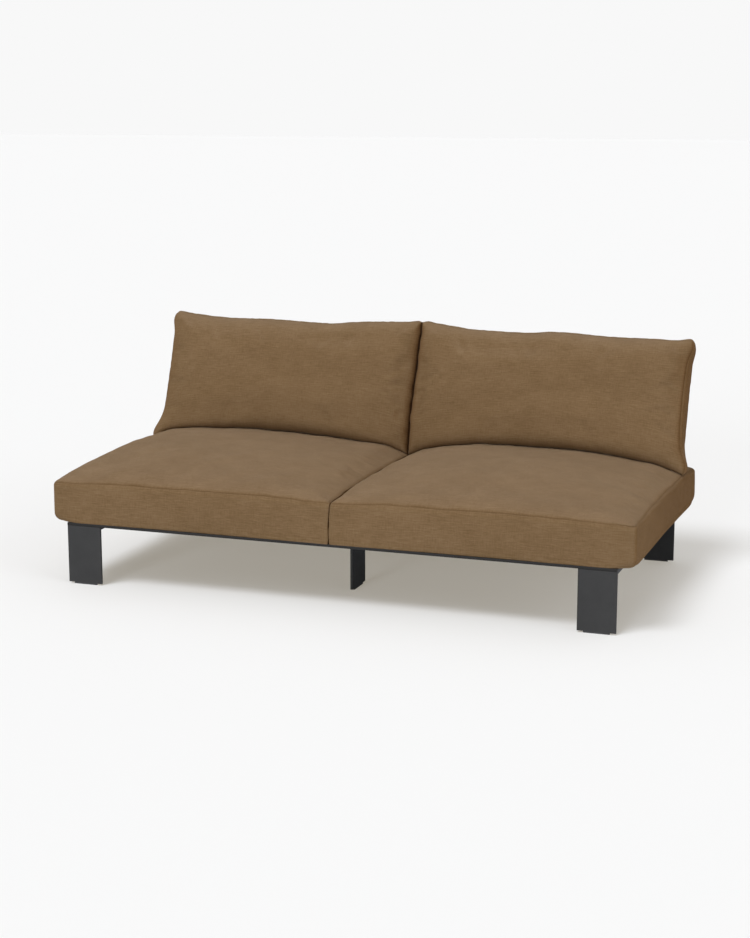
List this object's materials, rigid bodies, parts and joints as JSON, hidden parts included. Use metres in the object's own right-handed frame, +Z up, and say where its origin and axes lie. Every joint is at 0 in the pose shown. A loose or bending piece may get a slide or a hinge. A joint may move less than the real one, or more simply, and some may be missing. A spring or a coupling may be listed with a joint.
{
  "type": "outdoor sofa",
  "caption": "Low armless outdoor sofa: a flat-bar base on plate legs with a rear bar backrest, carrying loose seat cushions and loose back cushions in brown woven covers.",
  "frame": {"origin": "on the floor, in the middle of the sofa's width and depth", "axes": "+X to the right as seen from the front, +Y to the rear, +Z up"},
  "size_m": [1.8888, 1.008, 0.7852],
  "materials": {
    "powder_coated_aluminium": "matte",
    "bolt_steel": "satin",
    "glide_nylon": "matte",
    "cap_plastic": "matte",
    "cover_fabric": "matte",
    "foam": "matte",
    "fibre_fill": "matte",
    "zip_tape": "matte",
    "slider_metal": "satin"
  },
  "bodies": {
    "frame": {"front_rail": "powder_coated_aluminium", "rear_rail": "powder_coated_aluminium", "left_side_rail": "powder_coated_aluminium", "centre_rail": "powder_coated_aluminium", "right_side_rail": "powder_coated_aluminium", "left_deck_slat_1": "powder_coated_aluminium", "left_deck_slat_2": "powder_coated_aluminium", "left_deck_slat_3": "powder_coated_aluminium", "left_deck_slat_4": "powder_coated_aluminium", "left_deck_slat_5": "powder_coated_aluminium", "left_deck_slat_6": "powder_coated_aluminium", "right_deck_slat_1": "powder_coated_aluminium", "right_deck_slat_2": "powder_coated_aluminium", "right_deck_slat_3": "powder_coated_aluminium", "right_deck_slat_4": "powder_coated_aluminium", "right_deck_slat_5": "powder_coated_aluminium", "right_deck_slat_6": "powder_coated_aluminium", "front_beam": "powder_coated_aluminium", "rear_beam": "powder_coated_aluminium", "beam_end_caps": "cap_plastic", "front_left_leg": "powder_coated_aluminium", "front_right_leg": "powder_coated_aluminium", "rear_left_leg": "powder_coated_aluminium", "rear_right_leg": "powder_coated_aluminium", "front_centre_leg": "powder_coated_aluminium", "rear_centre_leg": "powder_coated_aluminium", "front_left_glide": "glide_nylon", "front_right_glide": "glide_nylon", "rear_left_glide": "glide_nylon", "rear_right_glide": "glide_nylon", "front_centre_glide": "glide_nylon", "rear_centre_glide": "glide_nylon", "leg_bolts": "bolt_steel", "outer_left_back_post": "powder_coated_aluminium", "inner_left_back_post": "powder_coated_aluminium", "inner_right_back_post": "powder_coated_aluminium", "outer_right_back_post": "powder_coated_aluminium", "upper_back_rail": "powder_coated_aluminium", "lower_back_rail": "powder_coated_aluminium", "post_bolts": "bolt_steel"},
    "left_seat_cushion": {"left_seat_cover": "cover_fabric", "left_seat_foam": "foam", "left_seat_zip": "zip_tape"},
    "left_seat_slider": {"left_seat_zip_slider": "slider_metal"},
    "left_back_cushion": {"left_back_cover": "cover_fabric", "left_back_fill": "fibre_fill", "left_back_zip": "zip_tape"},
    "left_back_slider": {"left_back_zip_slider": "slider_metal"},
    "right_seat_cushion": {"right_seat_cover": "cover_fabric", "right_seat_foam": "foam", "right_seat_zip": "zip_tape"},
    "right_seat_slider": {"right_seat_zip_slider": "slider_metal"},
    "right_back_cushion": {"right_back_cover": "cover_fabric", "right_back_fill": "fibre_fill", "right_back_zip": "zip_tape"},
    "right_back_slider": {"right_back_zip_slider": "slider_metal"}
  },
  "joints": [
    {"name": "left_seat_lift", "type": "slide", "parent": "frame", "child": "left_seat_cushion", "axis": [0, 0, 1], "range_m": [0, 0.55]},
    {"name": "left_back_lift", "type": "slide", "parent": "left_seat_cushion", "child": "left_back_cushion", "axis": [0, 0, 1], "range_m": [0, 0.42]},
    {"name": "left_seat_zip_slide", "type": "slide", "parent": "left_seat_cushion", "child": "left_seat_slider", "axis": [1, 0, 0], "range_m": [0, 0.762]},
    {"name": "left_back_zip_slide", "type": "slide", "parent": "left_back_cushion", "child": "left_back_slider", "axis": [1, 0, 0], "range_m": [0, 0.762]},
    {"name": "right_seat_lift", "type": "slide", "parent": "frame", "child": "right_seat_cushion", "axis": [0, 0, 1], "range_m": [0, 0.55]},
    {"name": "right_back_lift", "type": "slide", "parent": "right_seat_cushion", "child": "right_back_cushion", "axis": [0, 0, 1], "range_m": [0, 0.42]},
    {"name": "right_seat_zip_slide", "type": "slide", "parent": "right_seat_cushion", "child": "right_seat_slider", "axis": [-1, 0, 0], "range_m": [0, 0.762]},
    {"name": "right_back_zip_slide", "type": "slide", "parent": "right_back_cushion", "child": "right_back_slider", "axis": [-1, 0, 0], "range_m": [0, 0.762]}
  ]
}
